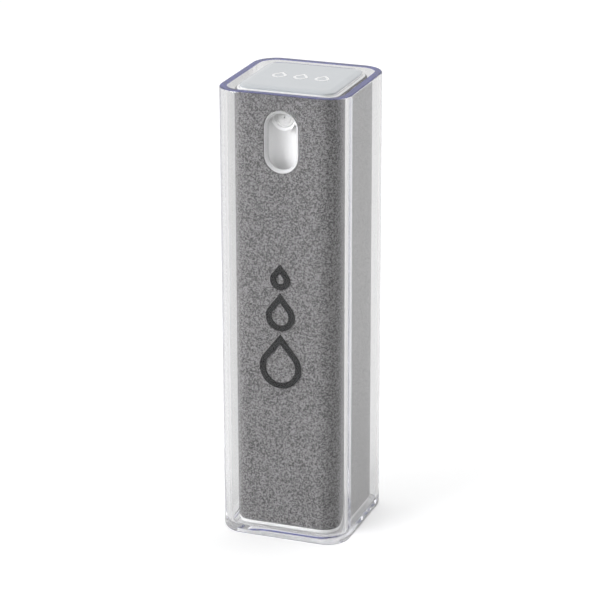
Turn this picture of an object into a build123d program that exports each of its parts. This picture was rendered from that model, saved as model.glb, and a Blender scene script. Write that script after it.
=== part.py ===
"""Pocket lens cleaning spray: a cloth-covered square atomiser that stands in an open-topped clear case.

The spray unit lifts straight out of the case. Its square top is a push button that carries the nozzle
down behind an oval window, and works a small piston pump in the neck of the bottle inside.

Units are millimetres. +Z is up, the nozzle faces -Y, and the origin is the middle of the case's foot.
"""

from build123d import *
import math
import os

# Clear outer case
CASE_HALF = 14.0
CASE_HEIGHT = 96.5
CASE_CORNER = 5.2
CASE_WALL = 1.5
CASE_FLOOR = 1.5
CASE_FOOT_EDGE = 0.8
CASE_RIM_EDGE = 0.3
FOOT_RING = 2.6
FOOT_RECESS = 0.4
REST_GAP = 0.05

# Cloth, shell and base plug: nested square sections, from the outside in
CLOTH_HALF = 11.3
CLOTH_CORNER = 3.8
CLOTH_THICK = 0.4
SHELL_HALF = CLOTH_HALF - CLOTH_THICK
SHELL_CORNER = CLOTH_CORNER - CLOTH_THICK
SHELL_WALL = 0.5
SHELL_BORE = SHELL_HALF - SHELL_WALL
SHELL_BORE_CORNER = SHELL_CORNER - SHELL_WALL
SHELL_EDGE = 0.15
PLUG_HALF = 11.1
PLUG_CORNER = 3.6
PLUG_EDGE = 0.3
PLUG_FLANGE = 0.9
PLUG_BOTTOM = CASE_FLOOR + REST_GAP
SHELL_BOTTOM = PLUG_BOTTOM + PLUG_FLANGE
SHELL_TOP = 95.95
CLOTH_GAP = 0.05
SEAM_GAP = 0.15
PLUG_SPIGOT_TOP = 7.0
PLUG_SPIGOT_WALL = 1.6
PLUG_RIB = 1.0
SNAP_WIDTH = 6.0
SNAP_HEIGHT = 0.8
SNAP_PROUD = 0.45
SNAP_Z = 5.4

# Oval window in the front
WINDOW_Z = 86.15
OPEN_WIDTH = 6.1
OPEN_HEIGHT = 11.7
NECK_RIM = 0.45
LIP_RIM = 0.6
FIT = 0.05
LIP_FRONT = -11.3
LIP_SLOPE = 0.5

# Spray button, which slides down inside the shell
BUTTON_HALF = 10.3
BUTTON_CORNER = 2.8
BUTTON_WALL = 0.9
BUTTON_TOP = 96.2
BUTTON_ROOF = 95.0
SEAT_HALF = 8.8
SEAT_CORNER = 1.4
SEAT_DEPTH = 0.3
PLATE_RIM = 96.57
PLATE_TOP = 96.77
PLATE_SLOPE = 1.2
PLATE_EDGE = 0.08
PAD_HALF = 4.4
PAD_BACK = -6.7
CHANNEL_WIDTH = 6.4
CHANNEL_DEPTH = 2.9
POST_RADIUS = 3.3
RIB_HALF = 2.3
RIB_BOTTOM = 87.8

# Nozzle
NOZZLE_Z = 90.8
BOSS_RADIUS = 2.6
BOSS_FRONT = -9.8
BOSS_GROOVE = 0.15
GROOVE_BACK = -7.1
SOCKET_RADIUS = 2.1
SOCKET_BACK = -7.2
SOCKET_CHAMFER = 0.45
SWIRL_POST_RADIUS = 1.0
SWIRL_POST_FRONT = -8.7
INSERT_FRONT = -9.35
INSERT_BACK = -7.5
INSERT_FACE = 0.55
INSERT_BORE = 1.45
ORIFICE_RADIUS = 0.18
DIMPLE_RADIUS = 0.7
DIMPLE_DEPTH = 0.25
FEED_RADIUS = 0.4
FEED_RISE = 1.45

# Bottle
BOTTLE_HALF = 8.6
BOTTLE_CORNER = 2.2
BOTTLE_BOTTOM = 3.4
BOTTLE_SHOULDER = 60.4
BOTTLE_WALL = 0.8
BOTTLE_FLOOR = 0.9
NECK_RADIUS = 6.5
NECK_BORE = 5.0
NECK_TOP = 69.8
BEAD_RADIUS = 7.0
BEAD_Z = 66.8
PARTITION_BOTTOM = BOTTLE_SHOULDER + 0.2
PARTITION_THICK = 1.0
PARTITION_HOLE = 8.2

# Pump, from the gasket up and then down the barrel
GASKET_TOP = NECK_TOP + 0.8
FLANGE_RADIUS = 6.4
FLANGE_TOP = GASKET_TOP + 1.2
BARREL_RADIUS = 4.1
BARREL_BORE = 3.2
BARREL_BOTTOM = 57.6
BALL_CHAMBER = 1.45
BALL_RADIUS = 1.2
RETAINER_RADIUS = 1.1
RETAINER_HEIGHT = 0.4
SEAT_TOP = 54.6
SEAT_BOTTOM = 53.75
SEAT_RADIUS = 0.7
TUBE_STOP = 53.2
TUBE_SOCKET_BOTTOM = 47.6
TUBE_RADIUS = 1.25
TUBE_BORE = 0.8
TUBE_BOTTOM = 4.9
NIPPLE_RADIUS = 2.1
GUIDE_FLANGE_RADIUS = 5.6
GUIDE_FLANGE_TOP = FLANGE_TOP + 0.6
GUIDE_SKIRT_BOTTOM = 70.0
GUIDE_TOP = 76.0
TURRET_RADIUS = 4.5
CLOSURE_RADIUS = 7.9
CLOSURE_BOTTOM = 61.9
CLOSURE_ROOF = 1.0
CLOSURE_TOP = GUIDE_FLANGE_TOP + CLOSURE_ROOF
GRIP_GROOVES = 24
GRIP_RADIUS = 0.25

# Travel of the button, and the room it needs above the closure and the turret
STROKE = 5.0
BUTTON_SKIRT_BOTTOM = CLOSURE_TOP + STROKE + 0.6
POST_BOTTOM = GUIDE_TOP + STROKE + 0.5

# Stem, piston and return spring
STEM_RADIUS = 1.95
STEM_TOP = 88.4
STEM_BORE = 0.9
STEM_WAIST = 1.7
STEM_SHOULDER = 70.75
VALVE_TOP = 68.1
VALVE_BOTTOM = 67.3
VALVE_RADIUS = 2.6
VALVE_HOLE = 0.3
TAIL_RADIUS = 1.45
TAIL_BOTTOM = 63.4
RUNNING = 0.03
GUIDE_RUNNING = 0.07
PISTON_BOTTOM = VALVE_TOP + FIT
PISTON_TOP = 69.9
PISTON_LIP = 0.55
PISTON_WAIST = 2.6
SPRING_MEAN = 2.25
SPRING_WIRE = 0.25
SPRING_TURNS = 6

# Printed marks: plain water drops
MARK_THICK = 0.25
MARK_STROKE = 1.2
MARK_BOTTOM = 33.4
MARK_MIDDLE = -0.4
MARK_RADII = (4.5, 3.1, 2.1)
MARK_SPACE = 0.8
DROP_POINT = 1.62
TOP_MARK_RADIUS = 1.5
TOP_MARK_STROKE = 0.5
TOP_MARK_PITCH = 4.6
TOP_MARK_INSET = 0.25
TOP_MARK_PROUD = 0.03

FAR = 60.0


def square_prism(half, corner, low, high):
    """An upright prism with a rounded square section, centred on the Z axis."""
    return Pos(0, 0, low) * extrude(RectangleRounded(2 * half, 2 * half, corner), high - low)


def oval_prism(width, height, front, back):
    """An upright oval, swept front to back along Y through the window's centre."""
    plane = Plane((0, front, WINDOW_Z), x_dir=(1, 0, 0), z_dir=(0, 1, 0))
    return extrude(plane * SlotOverall(height, width, rotation=90), back - front)


def turned(*profile):
    """A solid of revolution about Z, from (radius, height) corners."""
    return revolve(Plane.XZ * make_face(Polyline(*profile, close=True)), Axis.Z)


def rod_y(radius, front, back, height):
    """A rod along Y, between two Y values, at one height on the centre plane."""
    plane = Plane((0, front, height), x_dir=(1, 0, 0), z_dir=(0, 1, 0))
    return extrude(plane * Circle(radius), back - front)


def block(x, y, z):
    """A box given by its (low, high) pairs along X, Y and Z."""
    sides = [high - low for low, high in (x, y, z)]
    middle = [(high + low) / 2 for low, high in (x, y, z)]
    return Pos(*middle) * Box(*sides)


def rim_edges(solid, top):
    """The edges of a solid's highest or lowest flat face."""
    return solid.faces().sort_by(Axis.Z)[-1 if top else 0].edges()


def drop(radius, stroke):
    """The outline of a water drop, point up along +Y, centred on its round part."""

    def filled(r):
        half_angle = math.asin(1 / DROP_POINT)
        touch = (r * math.cos(half_angle), r * math.sin(half_angle))
        sides = Polyline((-touch[0], touch[1]), (0, DROP_POINT * r), touch, close=True)
        return Circle(r) + make_face(sides)

    return filled(radius) - filled(radius - stroke)


def clear_case():
    """An open-topped square cup with a thick floor and a shallow recess under its foot."""
    cup = square_prism(CASE_HALF, CASE_CORNER, 0, CASE_HEIGHT)
    cup = fillet(rim_edges(cup, top=False), CASE_FOOT_EDGE)
    cup = fillet(rim_edges(cup, top=True), CASE_RIM_EDGE)
    bore = square_prism(CASE_HALF - CASE_WALL, CASE_CORNER - CASE_WALL, CASE_FLOOR, CASE_HEIGHT + 1)
    bore = fillet(rim_edges(bore, top=False), CASE_FOOT_EDGE)
    recess_half = CASE_HALF - FOOT_RING
    recess = square_prism(recess_half, CASE_CORNER - FOOT_RING, -1, FOOT_RECESS)
    return cup - bore - recess


def inner_shell():
    """The square tube that everything else in the unit mounts on, with a partition over the bottle."""
    shell = square_prism(SHELL_HALF, SHELL_CORNER, SHELL_BOTTOM, SHELL_TOP)
    shell = fillet(rim_edges(shell, top=True), SHELL_EDGE)
    shell -= square_prism(SHELL_BORE, SHELL_BORE_CORNER, SHELL_BOTTOM, SHELL_TOP)
    partition = square_prism(
        SHELL_BORE + FIT, SHELL_BORE_CORNER, PARTITION_BOTTOM, PARTITION_BOTTOM + PARTITION_THICK
    )
    partition -= Pos(0, 0, PARTITION_BOTTOM) * Cylinder(PARTITION_HOLE, 4 * PARTITION_THICK)
    shell += partition
    rim = 2 * (NECK_RIM + FIT)
    shell -= oval_prism(OPEN_WIDTH + rim, OPEN_HEIGHT + rim, -FAR, 0)
    for side in (-1, 1):
        pocket = Box(2 * SHELL_WALL, SNAP_WIDTH + 2 * FIT, SNAP_HEIGHT + 2 * FIT)
        shell -= Pos(side * (SHELL_BORE + SHELL_WALL / 2), 0, SNAP_Z) * pocket
    return shell


def microfibre_wrap():
    """The cleaning cloth, bonded round the shell with a butt seam down the back."""
    low = SHELL_BOTTOM + CLOTH_GAP
    high = SHELL_TOP - CLOTH_GAP - SHELL_EDGE
    wrap = square_prism(CLOTH_HALF, CLOTH_CORNER, low, high)
    wrap -= square_prism(SHELL_HALF, SHELL_CORNER, low, high)
    rim = 2 * (LIP_RIM + 2 * FIT)
    wrap -= oval_prism(OPEN_WIDTH + rim, OPEN_HEIGHT + rim, -FAR, 0)
    wrap -= block((-SEAM_GAP / 2, SEAM_GAP / 2), (0, FAR), (0, CASE_HEIGHT))
    return wrap


def window_bezel():
    """The oval surround of the window: a funnel-shaped lip on the shell and a neck through its wall."""
    lip = oval_prism(OPEN_WIDTH + 2 * LIP_RIM, OPEN_HEIGHT + 2 * LIP_RIM, LIP_FRONT, -SHELL_HALF)
    neck = oval_prism(OPEN_WIDTH + 2 * NECK_RIM, OPEN_HEIGHT + 2 * NECK_RIM, -SHELL_HALF, -SHELL_BORE)
    ring = lip + neck - oval_prism(OPEN_WIDTH, OPEN_HEIGHT, -FAR, 0)
    front = ring.faces().sort_by(Axis.Y)[0]
    return chamfer(front.inner_wires()[0].edges(), LIP_SLOPE)


def base_plug():
    """The snap-in foot of the shell: a flange, a hollow spigot with two snaps and a cross of ribs."""
    flange = square_prism(PLUG_HALF, PLUG_CORNER, PLUG_BOTTOM, SHELL_BOTTOM)
    flange = chamfer(rim_edges(flange, top=False), PLUG_EDGE)
    outer = SHELL_BORE - FIT
    inner = outer - PLUG_SPIGOT_WALL
    spigot = square_prism(outer, SHELL_BORE_CORNER - FIT, SHELL_BOTTOM, PLUG_SPIGOT_TOP)
    spigot -= square_prism(inner, BOTTLE_CORNER + FIT, SHELL_BOTTOM, PLUG_SPIGOT_TOP)
    plug = flange + spigot
    rib_z = (SHELL_BOTTOM, BOTTLE_BOTTOM - FIT)
    rib = PLUG_RIB / 2
    plug += block((-inner - rib, inner + rib), (-rib, rib), rib_z)
    plug += block((-rib, rib), (-inner - rib, inner + rib), rib_z)
    for side in (-1, 1):
        snap = Box(SNAP_PROUD + rib, SNAP_WIDTH, SNAP_HEIGHT)
        plug += Pos(side * (outer + (SNAP_PROUD - rib) / 2), 0, SNAP_Z) * snap
    return plug


def front_emblem():
    """Three water drops printed in a column on the cloth, largest at the foot."""
    face = Plane((0, -CLOTH_HALF, 0), x_dir=(1, 0, 0), z_dir=(0, -1, 0))
    column = Sketch()
    low = MARK_BOTTOM
    for radius in MARK_RADII:
        column += Pos(MARK_MIDDLE, low + radius) * drop(radius, MARK_STROKE)
        low += radius * (1 + DROP_POINT) + MARK_SPACE
    return extrude(face * column, MARK_THICK)


def bottle():
    """A square blown bottle with rounded edges and a round neck ringed by a snap bead."""
    body = square_prism(BOTTLE_HALF, BOTTLE_CORNER, BOTTLE_BOTTOM, BOTTLE_SHOULDER)
    body = fillet(rim_edges(body, top=False) + rim_edges(body, top=True), BOTTLE_WALL)
    inner_half = BOTTLE_HALF - BOTTLE_WALL
    inner_corner = BOTTLE_CORNER - BOTTLE_WALL
    inner_low = BOTTLE_BOTTOM + BOTTLE_FLOOR
    hollow = square_prism(inner_half, inner_corner, inner_low, BOTTLE_SHOULDER - BOTTLE_WALL)
    neck = turned(
        (NECK_BORE, BOTTLE_SHOULDER - BOTTLE_WALL - 0.1),
        (NECK_BORE, NECK_TOP),
        (NECK_RADIUS, NECK_TOP),
        (NECK_RADIUS, BEAD_Z + 0.5),
        (BEAD_RADIUS, BEAD_Z + 0.1),
        (BEAD_RADIUS, BEAD_Z - 0.3),
        (NECK_RADIUS, BEAD_Z - 0.5),
        (NECK_RADIUS, BOTTLE_SHOULDER - BOTTLE_WALL - 0.1),
    )
    mouth = Pos(0, 0, BOTTLE_SHOULDER) * Cylinder(NECK_BORE, 4 * BOTTLE_WALL)
    return body - hollow - mouth + neck


def closure_collar():
    """The grooved closure that snaps over the neck's bead and clamps the pump down on its gasket."""
    collar = turned(
        (NECK_RADIUS + 0.1, CLOSURE_BOTTOM),
        (NECK_RADIUS + 0.1, BEAD_Z - 0.6),
        (BEAD_RADIUS + 0.1, BEAD_Z - 0.4),
        (BEAD_RADIUS + 0.1, BEAD_Z + 0.2),
        (NECK_RADIUS + 0.1, BEAD_Z + 0.6),
        (NECK_RADIUS + 0.1, GUIDE_FLANGE_TOP),
        (TURRET_RADIUS + 0.1, GUIDE_FLANGE_TOP),
        (TURRET_RADIUS + 0.1, CLOSURE_TOP),
        (CLOSURE_RADIUS - 0.4, CLOSURE_TOP),
        (CLOSURE_RADIUS, CLOSURE_TOP - 0.4),
        (CLOSURE_RADIUS, CLOSURE_BOTTOM),
    )
    groove = Cylinder(GRIP_RADIUS, GUIDE_FLANGE_TOP - CLOSURE_BOTTOM)
    middle = (GUIDE_FLANGE_TOP + CLOSURE_BOTTOM) / 2
    return collar - Pos(0, 0, middle) * PolarLocations(CLOSURE_RADIUS, GRIP_GROOVES) * groove


def pump_gasket():
    """A flat ring between the bottle's neck and the pump's flange."""
    return turned(
        (BARREL_RADIUS + FIT, NECK_TOP),
        (BARREL_RADIUS + FIT, GASKET_TOP),
        (FLANGE_RADIUS, GASKET_TOP),
        (FLANGE_RADIUS, NECK_TOP),
    )


def pump_housing():
    """The pump barrel: a flange on the neck, the bore, a ball chamber and a socket for the tube."""
    return turned(
        (BARREL_BORE, FLANGE_TOP),
        (BARREL_BORE, BARREL_BOTTOM),
        (RETAINER_RADIUS, BARREL_BOTTOM),
        (RETAINER_RADIUS, BARREL_BOTTOM - RETAINER_HEIGHT),
        (BALL_CHAMBER, BARREL_BOTTOM - RETAINER_HEIGHT),
        (BALL_CHAMBER, SEAT_TOP),
        (SEAT_RADIUS, SEAT_BOTTOM),
        (SEAT_RADIUS, TUBE_STOP),
        (TUBE_RADIUS + 0.02, TUBE_STOP),
        (TUBE_RADIUS + 0.02, TUBE_SOCKET_BOTTOM),
        (NIPPLE_RADIUS, TUBE_SOCKET_BOTTOM),
        (NIPPLE_RADIUS, TUBE_STOP),
        (NIPPLE_RADIUS + 0.5, TUBE_STOP + 0.8),
        (NIPPLE_RADIUS + 0.5, BARREL_BOTTOM - 1),
        (BARREL_RADIUS, BARREL_BOTTOM),
        (BARREL_RADIUS, GASKET_TOP),
        (FLANGE_RADIUS, GASKET_TOP),
        (FLANGE_RADIUS, FLANGE_TOP),
    )


def stem_guide():
    """The bushing that closes the barrel and guides the stem through its turret."""
    bore = STEM_RADIUS + GUIDE_RUNNING
    return turned(
        (bore, GUIDE_SKIRT_BOTTOM),
        (bore, GUIDE_TOP),
        (TURRET_RADIUS - 0.4, GUIDE_TOP),
        (TURRET_RADIUS, GUIDE_TOP - 0.4),
        (TURRET_RADIUS, GUIDE_FLANGE_TOP),
        (GUIDE_FLANGE_RADIUS, GUIDE_FLANGE_TOP),
        (GUIDE_FLANGE_RADIUS, FLANGE_TOP),
        (BARREL_BORE - FIT, FLANGE_TOP),
        (BARREL_BORE - FIT, GUIDE_SKIRT_BOTTOM),
    )


def dip_tube():
    """The suction tube, pressed into the housing and cut on a slant just above the bottle's floor."""
    middle = (TUBE_BOTTOM + TUBE_STOP) / 2
    length = TUBE_STOP - 0.2 - TUBE_BOTTOM
    tube = Pos(0, 0, middle) * (Cylinder(TUBE_RADIUS, length) - Cylinder(TUBE_BORE, length))
    cut = Pos(0, 0, TUBE_BOTTOM) * Rot(0, 40, 0) * Pos(0, 0, -TUBE_RADIUS) * Box(9, 9, 2 * TUBE_RADIUS)
    return tube - cut


def ball_height():
    """Height of the ball's centre as it rests in its conical seat, with a hair's clearance."""
    slope = math.atan2(SEAT_TOP - SEAT_BOTTOM, BALL_CHAMBER - SEAT_RADIUS)
    return SEAT_BOTTOM + (BALL_RADIUS - SEAT_RADIUS * math.sin(slope)) / math.cos(slope) + RUNNING


def inlet_ball():
    """The steel ball of the pump's inlet valve."""
    return Pos(0, 0, ball_height()) * Sphere(BALL_RADIUS)


def return_spring():
    """The compression spring that lifts the stem from the floor of the barrel."""
    low = BARREL_BOTTOM + SPRING_WIRE
    rise = VALVE_BOTTOM - SPRING_WIRE - low
    path = Pos(0, 0, low) * Helix(rise / SPRING_TURNS, rise, SPRING_MEAN)
    start = Plane(path @ 0, z_dir=path % 0)
    return sweep(start * Circle(SPRING_WIRE), path=path)


def pump_stem():
    """The hollow stem: a pipe down from the button, a waist for the piston and a discharge valve."""
    stem = turned(
        (0, TAIL_BOTTOM),
        (TAIL_RADIUS - 0.3, TAIL_BOTTOM),
        (TAIL_RADIUS, TAIL_BOTTOM + 0.5),
        (TAIL_RADIUS, VALVE_BOTTOM),
        (VALVE_RADIUS, VALVE_BOTTOM),
        (VALVE_RADIUS, VALVE_TOP),
        (STEM_WAIST, VALVE_TOP),
        (STEM_WAIST, STEM_SHOULDER),
        (STEM_RADIUS, STEM_SHOULDER),
        (STEM_RADIUS, STEM_TOP - 0.3),
        (STEM_RADIUS - 0.3, STEM_TOP),
        (STEM_BORE, STEM_TOP),
        (STEM_BORE, VALVE_TOP + FIT),
        (0, VALVE_TOP + FIT),
    )
    return stem - rod_y(VALVE_HOLE, -STEM_RADIUS, STEM_RADIUS, VALVE_TOP + 1.5 * VALVE_HOLE)


def pump_piston():
    """The two-lipped piston that rides on the stem's waist and wipes the barrel."""
    outer = BARREL_BORE - RUNNING
    bore = STEM_WAIST + RUNNING
    return turned(
        (bore, PISTON_BOTTOM),
        (bore, PISTON_TOP),
        (outer, PISTON_TOP),
        (outer, PISTON_TOP - PISTON_LIP),
        (PISTON_WAIST, PISTON_TOP - PISTON_LIP - 0.2),
        (PISTON_WAIST, PISTON_BOTTOM + PISTON_LIP + 0.2),
        (outer, PISTON_BOTTOM + PISTON_LIP),
        (outer, PISTON_BOTTOM),
    )


def spray_channel():
    """The space in front of the button: a hollow curve with a rounded head, and a groove round the boss."""
    radius = (CHANNEL_WIDTH ** 2 / 4 + CHANNEL_DEPTH ** 2) / (2 * CHANNEL_DEPTH)
    curve = Pos(0, CHANNEL_DEPTH - BUTTON_HALF - radius, BUTTON_ROOF) * Cylinder(radius, 2 * FAR)
    half = CHANNEL_WIDTH / 2
    front = (-BUTTON_HALF - 1, PAD_BACK)
    slot = rod_y(half, *front, NOZZLE_Z) + block((-half, half), front, (0, NOZZLE_Z))
    groove = rod_y(BOSS_RADIUS + BOSS_GROOVE, BOSS_FRONT, GROOVE_BACK, NOZZLE_Z)
    return (curve & slot) + groove - rod_y(BOSS_RADIUS, BOSS_FRONT, PAD_BACK, NOZZLE_Z)


def press_button():
    """The square push button with its nozzle boss, hollow front, stem post and fluid channels."""
    inside = BUTTON_HALF - BUTTON_WALL
    button = square_prism(BUTTON_HALF, BUTTON_CORNER, BUTTON_SKIRT_BOTTOM, BUTTON_TOP)
    seat_bottom = BUTTON_TOP - SEAT_DEPTH - FIT
    button -= square_prism(SEAT_HALF + FIT, SEAT_CORNER + FIT, seat_bottom, BUTTON_TOP)
    hollow = square_prism(inside, BUTTON_CORNER - BUTTON_WALL, BUTTON_SKIRT_BOTTOM, BUTTON_ROOF)
    hollow -= block((-PAD_HALF, PAD_HALF), (-BUTTON_HALF, PAD_BACK), (0, BUTTON_ROOF))
    hollow -= block((-RIB_HALF, RIB_HALF), (PAD_BACK, 0), (RIB_BOTTOM, BUTTON_ROOF))
    hollow -= Pos(0, 0, POST_BOTTOM) * extrude(Circle(POST_RADIUS), BUTTON_ROOF - POST_BOTTOM)
    button -= hollow
    button -= spray_channel()
    feed_z = NOZZLE_Z + FEED_RISE
    stem_bore = extrude(Circle(STEM_RADIUS + RUNNING), STEM_TOP + FIT - POST_BOTTOM)
    riser = extrude(Circle(STEM_BORE), feed_z + FEED_RADIUS - POST_BOTTOM)
    button -= Pos(0, 0, POST_BOTTOM) * (stem_bore + riser)
    socket = rod_y(SOCKET_RADIUS, BOSS_FRONT, SOCKET_BACK, NOZZLE_Z)
    socket -= rod_y(SWIRL_POST_RADIUS, SWIRL_POST_FRONT, SOCKET_BACK, NOZZLE_Z)
    button -= socket
    button -= rod_y(FEED_RADIUS, SOCKET_BACK, 0, feed_z)
    mouth = Plane((0, BOSS_FRONT, NOZZLE_Z), x_dir=(1, 0, 0), z_dir=(0, 1, 0))
    wide = SOCKET_RADIUS + SOCKET_CHAMFER
    button -= loft([mouth * Circle(wide), mouth.offset(SOCKET_CHAMFER) * Circle(SOCKET_RADIUS)])
    return button


def nozzle_insert():
    """The swirl cup pressed into the boss: a dished, ringed face around the spray orifice."""
    outer = SOCKET_RADIUS - RUNNING
    depth = INSERT_BACK - INSERT_FRONT
    profile = Polyline(
        (ORIFICE_RADIUS, DIMPLE_DEPTH),
        (DIMPLE_RADIUS, 0),
        (outer - 0.75, 0),
        (outer - 0.65, 0.12),
        (outer - 0.5, 0.12),
        (outer - 0.4, 0),
        (outer - 0.12, 0),
        (outer, 0.12),
        (outer, depth),
        (INSERT_BORE, depth),
        (INSERT_BORE, INSERT_FACE),
        (ORIFICE_RADIUS, INSERT_FACE),
        close=True,
    )
    cup = revolve(Plane.XZ * make_face(profile), Axis.Z)
    return Pos(0, INSERT_FRONT, NOZZLE_Z) * Rot(-90, 0, 0) * cup


def top_drops():
    """The three drops of the top mark, in a row along X and centred on the plate."""
    rise = TOP_MARK_RADIUS * (DROP_POINT - 1) / 2
    row = Sketch()
    for step in (-1, 0, 1):
        row += Pos(step * TOP_MARK_PITCH, -rise) * drop(TOP_MARK_RADIUS, TOP_MARK_STROKE)
    return Pos(0, 0, PLATE_TOP - TOP_MARK_INSET) * row


def button_plate():
    """The glossy plate on top of the button: a key below, a sloping border and the mark's recess."""
    plate = square_prism(BUTTON_HALF, BUTTON_CORNER, BUTTON_TOP, PLATE_RIM)
    plate = fillet(rim_edges(plate, top=True), PLATE_EDGE)
    width = 2 * (BUTTON_HALF - PLATE_EDGE)
    low = RectangleRounded(width, width, BUTTON_CORNER - PLATE_EDGE)
    width -= 2 * PLATE_SLOPE
    high = RectangleRounded(width, width, BUTTON_CORNER - PLATE_EDGE - PLATE_SLOPE)
    plate += loft([Pos(0, 0, PLATE_RIM) * low, Pos(0, 0, PLATE_TOP) * high], ruled=True)
    plate += square_prism(SEAT_HALF, SEAT_CORNER, BUTTON_TOP - SEAT_DEPTH, BUTTON_TOP)
    return plate - extrude(top_drops(), TOP_MARK_INSET)


def top_emblem():
    """The white mark inlaid in the button plate."""
    return extrude(top_drops(), TOP_MARK_INSET + TOP_MARK_PROUD)


def main():
    os.makedirs("parts", exist_ok=True)
    parts = {
        "clear_case": clear_case(),
        "inner_shell": inner_shell(),
        "microfibre_wrap": microfibre_wrap(),
        "window_bezel": window_bezel(),
        "base_plug": base_plug(),
        "front_emblem": front_emblem(),
        "bottle": bottle(),
        "closure_collar": closure_collar(),
        "pump_gasket": pump_gasket(),
        "pump_housing": pump_housing(),
        "stem_guide": stem_guide(),
        "dip_tube": dip_tube(),
        "inlet_ball": inlet_ball(),
        "return_spring": return_spring(),
        "pump_stem": pump_stem(),
        "pump_piston": pump_piston(),
        "press_button": press_button(),
        "nozzle_insert": nozzle_insert(),
        "button_plate": button_plate(),
        "top_emblem": top_emblem(),
    }
    for name, solid in parts.items():
        export_step(solid, f"parts/{name}.step")


main()
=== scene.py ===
"""Looks for the pocket lens cleaning spray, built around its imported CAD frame. Lengths are in metres."""

import math

import bmesh
import bpy
from mathutils import Matrix, Vector, noise


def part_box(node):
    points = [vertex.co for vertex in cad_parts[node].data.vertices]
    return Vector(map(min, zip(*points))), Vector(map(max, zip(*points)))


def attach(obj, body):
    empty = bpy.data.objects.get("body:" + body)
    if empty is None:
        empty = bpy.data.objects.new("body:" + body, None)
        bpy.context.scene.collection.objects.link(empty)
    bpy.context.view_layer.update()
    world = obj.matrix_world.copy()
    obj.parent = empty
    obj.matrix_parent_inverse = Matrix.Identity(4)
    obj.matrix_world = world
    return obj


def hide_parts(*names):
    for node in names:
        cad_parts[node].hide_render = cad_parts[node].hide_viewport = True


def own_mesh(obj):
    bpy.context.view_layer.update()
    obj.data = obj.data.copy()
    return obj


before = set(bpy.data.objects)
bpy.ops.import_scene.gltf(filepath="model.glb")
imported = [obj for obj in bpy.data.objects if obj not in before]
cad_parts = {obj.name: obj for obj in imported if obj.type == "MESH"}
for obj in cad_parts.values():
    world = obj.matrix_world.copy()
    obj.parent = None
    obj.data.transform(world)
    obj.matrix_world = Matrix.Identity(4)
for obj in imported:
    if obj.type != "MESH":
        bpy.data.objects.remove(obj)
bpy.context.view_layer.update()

MM = 0.001

# Camera: a long lens, turned to the right of the front face and raised
CAMERA_AZIMUTH = math.radians(20.28)
CAMERA_ELEVATION = math.radians(19.82)
CAMERA_DISTANCE = 553.2 * MM
CAMERA_LENS = 159.2
CAMERA_ROLL = math.radians(-0.166)
AIM_RIGHT = -0.43 * MM
AIM_UP = 0.45 * MM
AIM_HEIGHT = 48.25 * MM

# Light: watts for the lamps, and the world's brightness towards its dark and its bright side
TOP_POWER = 4
KEY_POWER = 9.5
FILL_POWER = 3.4
WORLD_DARK = 0.15
WORLD_BRIGHT = 0.82
WORLD_DARK_SIDE = (0.6, -0.8, 0)
FLOOR_LIFT = 0.28
LIGHT_BOUNCES = 160

# Dark card: it lies just above the floor in front of the object and is seen only in reflections
CARD_NEAR = -0.0165
CARD_FAR = -0.9
CARD_HALF_WIDTH = 0.6
CARD_HEIGHT = 0.0003
FLOOR_HALF = 4

# Clear case: heights between which painted violet shade comes in on the rim, a dark tint standing in for
# light that has travelled the length of the wall
RIM_PAINTED_SHADE_FROM = 96.3 * MM
RIM_PAINTED_SHADE_TO = 96.45 * MM

# Cloth: the shell's outline inside, the sheet's thickness, and the window cut in it
SHELL_HALF = 10.9 * MM
SHELL_CORNER = 3.4 * MM
CLOTH_THICK = 0.4 * MM
CLOTH_STEP = 0.3 * MM
SEAM_HALF_GAP = 0.07 * MM
HOLE_HALF_WIDTH = 3.75 * MM
HOLE_HALF_STRAIGHT = 2.8 * MM
WINDOW_Z = 86.15 * MM
EDGE_ROLL = 0.35 * MM
NAP_DEPTH = 0.06 * MM

# Return spring
SPRING_MEAN = 2.25 * MM
SPRING_WIRE = 0.25 * MM
SPRING_TURNS = 6
SPRING_END_TURNS = 1
SPRING_STEPS = 48
SPRING_FLOOR = 57.6 * MM
SPRING_TOP = 67.3 * MM


# --- Camera, floor and light -------------------------------------------------------------------


def make_camera():
    """The camera, placed by its direction and distance from the middle of the case."""
    azimuth, elevation = CAMERA_AZIMUTH, CAMERA_ELEVATION
    back = Vector(
        (
            math.sin(azimuth) * math.cos(elevation),
            -math.cos(azimuth) * math.cos(elevation),
            math.sin(elevation),
        )
    )
    right = Vector((math.cos(azimuth), math.sin(azimuth), 0))
    up = back.cross(right)
    tilt = Matrix.Rotation(CAMERA_ROLL, 3, back)
    right, up = tilt @ right, tilt @ up
    case_middle = Vector((0, 0, AIM_HEIGHT))
    data = bpy.data.cameras.new("camera")
    data.lens = CAMERA_LENS
    data.sensor_width = 36
    data.clip_start = 0.01
    camera = bpy.data.objects.new("camera", data)
    turn = Matrix((right, up, back)).transposed().to_4x4()
    place = case_middle + back * CAMERA_DISTANCE + right * AIM_RIGHT + up * AIM_UP
    camera.matrix_world = Matrix.Translation(place) @ turn
    bpy.context.scene.collection.objects.link(camera)
    bpy.context.scene.camera = camera


def area_light(name, place, target, size, power):
    """A white rectangular lamp that the camera doesn't see, turned towards a target."""
    data = bpy.data.lights.new(name, "AREA")
    data.shape = "RECTANGLE"
    data.size, data.size_y = size
    data.energy = power
    light = bpy.data.objects.new(name, data)
    light.location = place
    light.rotation_euler = (Vector(target) - Vector(place)).to_track_quat("-Z", "Y").to_euler()
    light.visible_camera = False
    bpy.context.scene.collection.objects.link(light)


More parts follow.
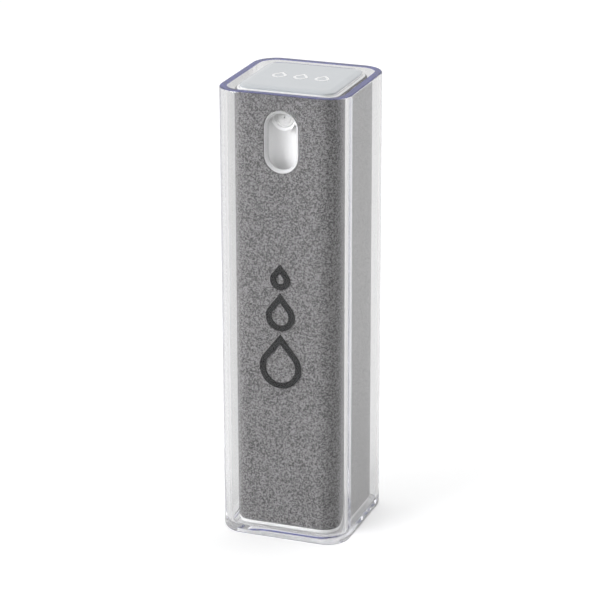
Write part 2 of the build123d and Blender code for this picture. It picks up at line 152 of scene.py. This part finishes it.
def make_world():
    """Soft all-round light, dimmest from in front of the object on its right."""
    world = bpy.data.worlds.new("studio")
    world.use_nodes = True
    tree = world.node_tree
    tree.nodes["Background"].inputs["Color"].default_value = (1, 1, 1, 1)
    way = tree.nodes.new("ShaderNodeTexCoord")
    towards = tree.nodes.new("ShaderNodeVectorMath")
    towards.operation = "DOT_PRODUCT"
    towards.inputs[1].default_value = WORLD_DARK_SIDE
    link(tree, way.outputs["Generated"], towards.inputs[0])
    strength = tree.nodes.new("ShaderNodeMapRange")
    strength.inputs["From Min"].default_value = -0.6
    strength.inputs["From Max"].default_value = 0.6
    strength.inputs["To Min"].default_value = WORLD_BRIGHT
    strength.inputs["To Max"].default_value = WORLD_DARK
    link(tree, towards.outputs["Value"], strength.inputs["Value"])
    link(tree, strength.outputs["Result"], tree.nodes["Background"].inputs["Strength"])
    bpy.context.scene.world = world


def plane_object(name, corners, material):
    """A flat stage piece with four corners, which isn't part of the object."""
    mesh = bpy.data.meshes.new(name)
    mesh.from_pydata(corners, [], [(0, 1, 2, 3)])
    mesh.materials.append(material)
    thing = bpy.data.objects.new(name, mesh)
    bpy.context.scene.collection.objects.link(thing)
    return thing


def make_studio():
    """World, floor, card and lamps; many bounces, as light takes long paths in the case's walls."""
    bpy.context.scene.view_settings.view_transform = "Standard"
    for limit in ("max_bounces", "transmission_bounces", "glossy_bounces"):
        setattr(bpy.context.scene.cycles, limit, LIGHT_BOUNCES)
    make_world()

    white = surface("floor_white", (0.9, 0.9, 0.9), 0.7, 40, 0, 0.01)
    tree = white.node_tree
    lift = tree.nodes.new("ShaderNodeMixShader")
    glow = tree.nodes.new("ShaderNodeEmission")
    glow.inputs["Strength"].default_value = FLOOR_LIFT
    both = tree.nodes.new("ShaderNodeAddShader")
    rays = tree.nodes.new("ShaderNodeLightPath")
    link(tree, tree.nodes["Principled BSDF"].outputs["BSDF"], both.inputs[0])
    link(tree, glow.outputs["Emission"], both.inputs[1])
    link(tree, rays.outputs["Is Camera Ray"], lift.inputs["Fac"])
    link(tree, tree.nodes["Principled BSDF"].outputs["BSDF"], lift.inputs[1])
    link(tree, both.outputs["Shader"], lift.inputs[2])
    link(tree, lift.outputs["Shader"], tree.nodes["Material Output"].inputs["Surface"])
    half = FLOOR_HALF
    plane_object("floor", [(-half, -half, 0), (half, -half, 0), (half, half, 0), (-half, half, 0)], white)

    dark = surface("dark_card", (0.02, 0.02, 0.02), 0.9, 40, 0, 0.01)
    near, far, wide, up = CARD_NEAR, CARD_FAR, CARD_HALF_WIDTH, CARD_HEIGHT
    corners = [(-wide, far, up), (wide, far, up), (wide, near, up), (-wide, near, up)]
    card = plane_object("dark_card", corners, dark)
    card.visible_camera = False
    card.visible_transmission = False
    card.visible_diffuse = False
    card.visible_shadow = False

    middle = (0, 0, 0.05)
    area_light("top", (0, 0.1, 1.1), middle, (1.2, 1.2), TOP_POWER)
    area_light("key", (-0.75, -0.95, 0.5), middle, (0.6, 0.6), KEY_POWER)
    area_light("fill", (0.9, 0.5, 0.35), middle, (0.7, 0.7), FILL_POWER)


# --- Materials ---------------------------------------------------------------------------------


def link(tree, source, target):
    tree.links.new(source, target)


def surface(name, color, roughness, grain_mm, bump_mm, swing, fine=4.0, sharp=0.2, **sockets):
    """A procedural surface: its colour, roughness and height vary with a noise of the given size."""
    made = bpy.data.materials.new(name)
    made.use_nodes = True
    tree = made.node_tree
    shader = tree.nodes["Principled BSDF"]
    place = tree.nodes.new("ShaderNodeTexCoord")
    grain = tree.nodes.new("ShaderNodeTexNoise")
    grain.inputs["Scale"].default_value = 1 / (grain_mm * MM)
    grain.inputs["Detail"].default_value = fine
    grain.inputs["Roughness"].default_value = 0.6
    link(tree, place.outputs["Object"], grain.inputs["Vector"])
    ramp = tree.nodes.new("ShaderNodeValToRGB")
    ramp.color_ramp.elements[0].position = 0.5 - sharp
    ramp.color_ramp.elements[1].position = 0.5 + sharp
    ramp.color_ramp.elements[0].color = (*(c * (1 - swing) for c in color), 1)
    ramp.color_ramp.elements[1].color = (*(min(1.0, c * (1 + swing)) for c in color), 1)
    link(tree, grain.outputs["Fac"], ramp.inputs["Fac"])
    link(tree, ramp.outputs["Color"], shader.inputs["Base Color"])
    rough = tree.nodes.new("ShaderNodeMapRange")
    rough.inputs["To Min"].default_value = max(0.0, roughness - 0.06)
    rough.inputs["To Max"].default_value = roughness + 0.06
    link(tree, grain.outputs["Fac"], rough.inputs["Value"])
    link(tree, rough.outputs["Result"], shader.inputs["Roughness"])
    if bump_mm:
        bump = tree.nodes.new("ShaderNodeBump")
        bump.inputs["Strength"].default_value = 1
        bump.inputs["Distance"].default_value = bump_mm * MM
        link(tree, grain.outputs["Fac"], bump.inputs["Height"])
        link(tree, bump.outputs["Normal"], shader.inputs["Normal"])
    for key, value in sockets.items():
        shader.inputs[key.replace("_", " ")].default_value = value
    return made


def clear_plastic():
    """Clear moulded plastic that lets light through and is faintly blue in its depth; its rim carries
    painted violet shade standing in for light that travels along the wall.
    """
    made = bpy.data.materials.new("clear_plastic")
    made.use_nodes = True
    tree = made.node_tree
    shader = tree.nodes["Principled BSDF"]
    shader.inputs["Roughness"].default_value = 0.02
    shader.inputs["IOR"].default_value = 1.49
    shader.inputs["Transmission Weight"].default_value = 1
    place = tree.nodes.new("ShaderNodeTexCoord")
    parts = tree.nodes.new("ShaderNodeSeparateXYZ")
    # Painted shade: the base colour turns dark violet near the case's top edge, standing in for light that
    # comes along the wall; the plastic's own faint tint is the absorption below
    painted_rim_shade = tree.nodes.new("ShaderNodeMapRange")
    painted_rim_shade.inputs["From Min"].default_value = RIM_PAINTED_SHADE_FROM
    painted_rim_shade.inputs["From Max"].default_value = RIM_PAINTED_SHADE_TO
    ramp = tree.nodes.new("ShaderNodeValToRGB")
    ramp.color_ramp.elements[0].color = (0.96, 0.96, 0.96, 1)
    ramp.color_ramp.elements[1].color = (0.02, 0.025, 0.3, 1)
    link(tree, place.outputs["Object"], parts.inputs["Vector"])
    link(tree, parts.outputs["Z"], painted_rim_shade.inputs["Value"])
    link(tree, painted_rim_shade.outputs["Result"], ramp.inputs["Fac"])
    link(tree, ramp.outputs["Color"], shader.inputs["Base Color"])
    through = tree.nodes.new("ShaderNodeBsdfTransparent")
    through.inputs["Color"].default_value = (0.97, 0.97, 0.985, 1)
    rays = tree.nodes.new("ShaderNodeLightPath")
    mix = tree.nodes.new("ShaderNodeMixShader")
    link(tree, rays.outputs["Is Shadow Ray"], mix.inputs["Fac"])
    link(tree, shader.outputs["BSDF"], mix.inputs[1])
    link(tree, through.outputs["BSDF"], mix.inputs[2])
    link(tree, mix.outputs["Shader"], tree.nodes["Material Output"].inputs["Surface"])
    tint = tree.nodes.new("ShaderNodeVolumeAbsorption")
    tint.inputs["Color"].default_value = (0.3, 0.32, 0.55, 1)
    tint.inputs["Density"].default_value = 5
    link(tree, tint.outputs["Volume"], tree.nodes["Material Output"].inputs["Volume"])
    return made


def dress(node, material):
    """Gives a CAD node its material."""
    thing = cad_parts[node]
    thing.data.materials.clear()
    thing.data.materials.append(material)


# --- Cloth -------------------------------------------------------------------------------------

ARC_CENTRE = SHELL_HALF - SHELL_CORNER
OUTER_CORNER = SHELL_CORNER + CLOTH_THICK
QUARTER = OUTER_CORNER * math.pi / 2
GIRTH = 8 * ARC_CENTRE + 4 * QUARTER


def wrap_point(along, z, out):
    """The point at a distance along the girth from the middle of the front, and out from the shell."""
    side = 1 if along >= 0 else -1
    run = abs(along)
    reach = SHELL_CORNER + out
    c = ARC_CENTRE
    if run <= c:
        x, y = run, -c - reach
    elif run <= c + QUARTER:
        a = (run - c) / OUTER_CORNER
        x, y = c + reach * math.sin(a), -c - reach * math.cos(a)
    elif run <= 3 * c + QUARTER:
        x, y = c + reach, run - 2 * c - QUARTER
    elif run <= 3 * c + 2 * QUARTER:
        a = (run - 3 * c - QUARTER) / OUTER_CORNER
        x, y = c + reach * math.cos(a), c + reach * math.sin(a)
    else:
        x, y = 4 * c + 2 * QUARTER - run, c + reach
    return Vector((side * x, y, z))


def oval_distance(along, z):
    """Distance outside the window's cut edge, negative inside it, and the direction out of it."""
    rise = z - WINDOW_Z
    core = max(-HOLE_HALF_STRAIGHT, min(HOLE_HALF_STRAIGHT, rise))
    away = Vector((along, rise - core))
    return away.length - HOLE_HALF_WIDTH, away


def make_cloth():
    """The cloth as a two-sided sheet with rolled edges, cut out for the window, open at the back seam."""
    low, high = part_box("microfibre_wrap")
    bottom, top = low.z, high.z
    half = GIRTH / 2 - SEAM_HALF_GAP
    columns = round(2 * half / CLOTH_STEP)
    rows = round((top - bottom) / CLOTH_STEP)
    work = bmesh.new()
    flat = {}
    for i in range(columns + 1):
        for j in range(rows + 1):
            along = -half + 2 * half * i / columns
            z = bottom + (top - bottom) * j / rows
            gap, away = oval_distance(along, z)
            if gap < -0.75 * CLOTH_STEP:
                continue
            if gap < 0.45 * CLOTH_STEP:
                shift = away.normalized() * -gap
                along, z = along + shift.x, z + shift.y
            flat[i, j] = (along, z)
    layers = []
    for outer in (True, False):
        verts = {}
        for key, (along, z) in flat.items():
            edge = min(z - bottom, top - z, half - abs(along), max(0, oval_distance(along, z)[0]))
            roll = min(1, edge / EDGE_ROLL)
            out = 0.0
            if outer:
                out = CLOTH_THICK * (0.55 + 0.4 * math.sqrt(1 - (1 - roll) ** 2))
                place = Vector((along, z, 0)) / MM
                clumps = noise.noise(place * 1.6) + 0.6 * noise.noise(place * 3.1 + Vector((7, 3, 1)))
                out += NAP_DEPTH * clumps * roll
            verts[key] = work.verts.new(wrap_point(along, z, out))
        layers.append(verts)
    for (i, j) in flat:
        ring = ((i, j), (i + 1, j), (i + 1, j + 1), (i, j + 1))
        if all(key in flat for key in ring):
            work.faces.new([layers[0][key] for key in ring])
            work.faces.new([layers[1][key] for key in reversed(ring)])
    borders = [e for e in work.edges if len(e.link_faces) == 1]
    front = {v: k for k, v in layers[0].items()}
    for edge in borders:
        a, b = edge.verts
        if a in front and b in front:
            loop = edge.link_loops[0]
            pair = (loop.vert, loop.link_loop_next.vert)
            below = [layers[1][front[vert]] for vert in pair]
            work.faces.new((pair[1], pair[0], below[0], below[1]))
    loose = [v for v in work.verts if not v.link_faces]
    bmesh.ops.delete(work, geom=loose, context="VERTS")
    mesh = bpy.data.meshes.new("microfibre_cloth")
    work.to_mesh(mesh)
    work.free()
    for face in mesh.polygons:
        face.use_smooth = True
    cloth = bpy.data.objects.new("microfibre_cloth", mesh)
    bpy.context.scene.collection.objects.link(cloth)
    mesh.materials.append(microfibre())
    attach(cloth, "unit")
    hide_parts("microfibre_wrap")


def microfibre():
    """Grey suede: short nap in clumps about a third of a millimetre across."""
    made = surface("microfibre", (0.195, 0.191, 0.191), 0.9, 0.31, 0.15, 0.55, fine=2, sharp=0.06)
    shader = made.node_tree.nodes["Principled BSDF"]
    made.node_tree.nodes["Noise Texture"].inputs["Distortion"].default_value = 0.7
    shader.inputs["Sheen Weight"].default_value = 0.35
    shader.inputs["Sheen Roughness"].default_value = 0.45
    shader.inputs["Specular IOR Level"].default_value = 0.15
    return made


# --- Return spring -----------------------------------------------------------------------------


def make_spring():
    """A coil with closed ends."""
    steps = SPRING_STEPS
    end_turns = SPRING_END_TURNS
    pitch_end = 2 * SPRING_WIRE
    rise = SPRING_TOP - SPRING_FLOOR - 2 * SPRING_WIRE
    pitch = (rise - 2 * end_turns * pitch_end) / (SPRING_TURNS - 2 * end_turns)
    curve = bpy.data.curves.new("coil_spring", "CURVE")
    curve.dimensions = "3D"
    curve.bevel_depth = SPRING_WIRE
    curve.bevel_resolution = 4
    curve.use_fill_caps = True
    spline = curve.splines.new("POLY")
    count = SPRING_TURNS * steps + 1
    spline.points.add(count - 1)
    z = SPRING_FLOOR + SPRING_WIRE
    for i, point in enumerate(spline.points):
        turn = i / steps
        angle = 2 * math.pi * turn
        point.co = (SPRING_MEAN * math.cos(angle), SPRING_MEAN * math.sin(angle), z, 1)
        at_end = turn < end_turns or turn >= SPRING_TURNS - end_turns
        z += (pitch_end if at_end else pitch) / steps
    holder = bpy.data.objects.new("coil_spring_path", curve)
    mesh = bpy.data.meshes.new_from_object(holder)
    bpy.data.objects.remove(holder)
    mesh.name = "coil_spring"
    mesh.materials.clear()
    mesh.materials.append(surface("spring_steel", (0.62, 0.62, 0.64), 0.25, 0.6, 0, 0.06, Metallic=1))
    for face in mesh.polygons:
        face.use_smooth = True
    spring = bpy.data.objects.new("coil_spring", mesh)
    bpy.context.scene.collection.objects.link(spring)
    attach(spring, "unit")
    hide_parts("return_spring")
    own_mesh(spring)


# --- CAD nodes ---------------------------------------------------------------------------------


def dress_nodes():
    """Gives each carried-over CAD node its look."""
    white = surface("white_plastic", (0.93, 0.93, 0.925), 0.35, 1.5, 0.004, 0.015)
    # Painted shade: the window bezel is the shell's white plastic drawn darker, standing in for the shade
    # in the window's recess
    bezel = surface("bezel_white_painted_shade", (0.66, 0.66, 0.66), 0.4, 1.5, 0.004, 0.015)
    pump_white = surface("pump_white", (0.8, 0.8, 0.79), 0.45, 1.2, 0.006, 0.03)
    natural = surface("natural_plastic", (0.74, 0.77, 0.77), 0.4, 2.0, 0.006, 0.04, Subsurface_Weight=0.2)
    grey = surface("nozzle_grey", (0.72, 0.72, 0.71), 0.4, 0.3, 0.01, 0.08)
    plate = surface("plate_gloss", (0.55, 0.578, 0.607), 0.12, 5.0, 0.002, 0.02, Coat_Weight=0.6)
    black = surface("black_print", (0.004, 0.004, 0.005), 0.5, 0.35, 0.03, 0.3, Specular_IOR_Level=0.2)
    inlay = surface("white_inlay", (0.93, 0.93, 0.93), 0.3, 1.0, 0.002, 0.01)
    rubber = surface("gasket_rubber", (0.03, 0.03, 0.032), 0.75, 0.4, 0.02, 0.2)
    steel = surface("ball_steel", (0.66, 0.66, 0.68), 0.12, 0.8, 0, 0.03, Metallic=1)
    looks = {
        "clear_case": (clear_plastic(), "clear_plastic"),
        "inner_shell": (white, "white_plastic"),
        "window_bezel": (bezel, "white_plastic"),
        "base_plug": (white, "white_plastic"),
        "press_button": (white, "white_plastic"),
        "nozzle_insert": (grey, "grey_plastic"),
        "button_plate": (plate, "plate_plastic"),
        "top_emblem": (inlay, "white_print"),
        "front_emblem": (black, "black_print"),
        "closure_collar": (pump_white, "white_plastic"),
        "stem_guide": (pump_white, "white_plastic"),
        "pump_stem": (pump_white, "white_plastic"),
        "pump_piston": (natural, "natural_plastic"),
        "pump_housing": (natural, "natural_plastic"),
        "bottle": (natural, "natural_plastic"),
        "dip_tube": (natural, "natural_plastic"),
        "pump_gasket": (rubber, "gasket_rubber"),
        "inlet_ball": (steel, "steel"),
    }
    for node, (material, slot) in looks.items():
        dress(node, material)


make_camera()
make_studio()
dress_nodes()
make_cloth()
make_spring()
